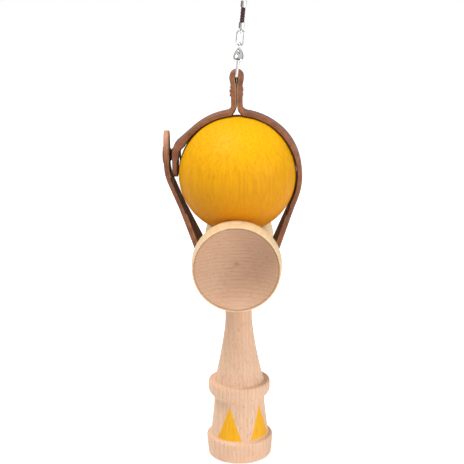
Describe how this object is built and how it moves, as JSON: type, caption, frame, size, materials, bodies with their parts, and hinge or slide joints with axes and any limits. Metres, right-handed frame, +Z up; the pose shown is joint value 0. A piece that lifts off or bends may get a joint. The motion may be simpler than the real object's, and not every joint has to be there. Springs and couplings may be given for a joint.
{
  "type": "kendama",
  "caption": "Wooden cup-and-ball toy standing on its base cup, ball on the spike, held in a leather strap with snap, rivet and swivel clasp.",
  "frame": {"origin": "on the handle's axis, at the level of the foot ring that it stands on", "axes": "+Z up along the handle, -Y out of the big cup, +X to the right when the big cup faces the viewer"},
  "size_m": [0.071, 0.07, 0.2601],
  "materials": {
    "beech": "satin",
    "yellow_paint": "satin",
    "leather": "satin",
    "chrome": "polished",
    "dark_brass": "satin",
    "cord": "matte"
  },
  "bodies": {
    "handle": {"ken_handle": "beech", "cross_cups": "beech", "strap_band": "leather", "rivet_cap": "dark_brass", "rivet_post": "dark_brass", "snap_stud": "dark_brass", "snap_eyelet": "dark_brass"},
    "ball": {"ball": "yellow_paint"},
    "flap": {"strap_flap": "leather", "snap_cap": "dark_brass", "snap_socket": "dark_brass"},
    "clasp": {"clasp_body": "chrome", "gate_pin": "chrome", "gate_spring": "chrome"},
    "gate": {"clasp_gate": "chrome"},
    "swivel": {"swivel_eye": "chrome"},
    "link": {"oval_link": "chrome"},
    "tether": {"lower_ferrule": "chrome", "tether_cord": "cord", "upper_ferrule": "chrome"},
    "ring": {"key_ring": "chrome"}
  },
  "joints": [
    {"name": "ball_spin", "type": "hinge", "parent": "handle", "child": "ball", "pos_m": [0, 0, 0.15451], "axis": [0, 0, 1], "continuous": true},
    {"name": "flap_open", "type": "hinge", "parent": "handle", "child": "flap", "pos_m": [-0.0215, 0, 0.11755], "axis": [0, -1, 0], "range_deg": [0, 110]},
    {"name": "clasp_swing", "type": "hinge", "parent": "handle", "child": "clasp", "pos_m": [0, 0, 0.20458], "axis": [0, 1, 0], "range_deg": [-66, 54]},
    {"name": "gate_open", "type": "hinge", "parent": "clasp", "child": "gate", "pos_m": [0.00093, 0.0054, 0.21343], "axis": [-0.9945, 0, 0.1045], "range_deg": [0, 40], "stiffness_Nm_per_rad": 0.001, "springref_deg": -20.05},
    {"name": "swivel_turn", "type": "hinge", "parent": "clasp", "child": "swivel", "pos_m": [0.0014, 0, 0.21791], "axis": [0.1045, 0, 0.9945], "continuous": true},
    {"name": "link_swing", "type": "hinge", "parent": "swivel", "child": "link", "pos_m": [0.0016, 0, 0.2198], "axis": [0.9945, 0, -0.1045], "range_deg": [-45, 45]},
    {"name": "tether_swing", "type": "hinge", "parent": "link", "child": "tether", "pos_m": [0.00239, 0, 0.22736], "axis": [0.9945, 0, -0.1045], "range_deg": [-45, 45]},
    {"name": "ring_swing", "type": "hinge", "parent": "tether", "child": "ring", "pos_m": [0.004, 0, 0.24267], "axis": [0.9945, 0, -0.1045], "range_deg": [-60, 60]}
  ]
}
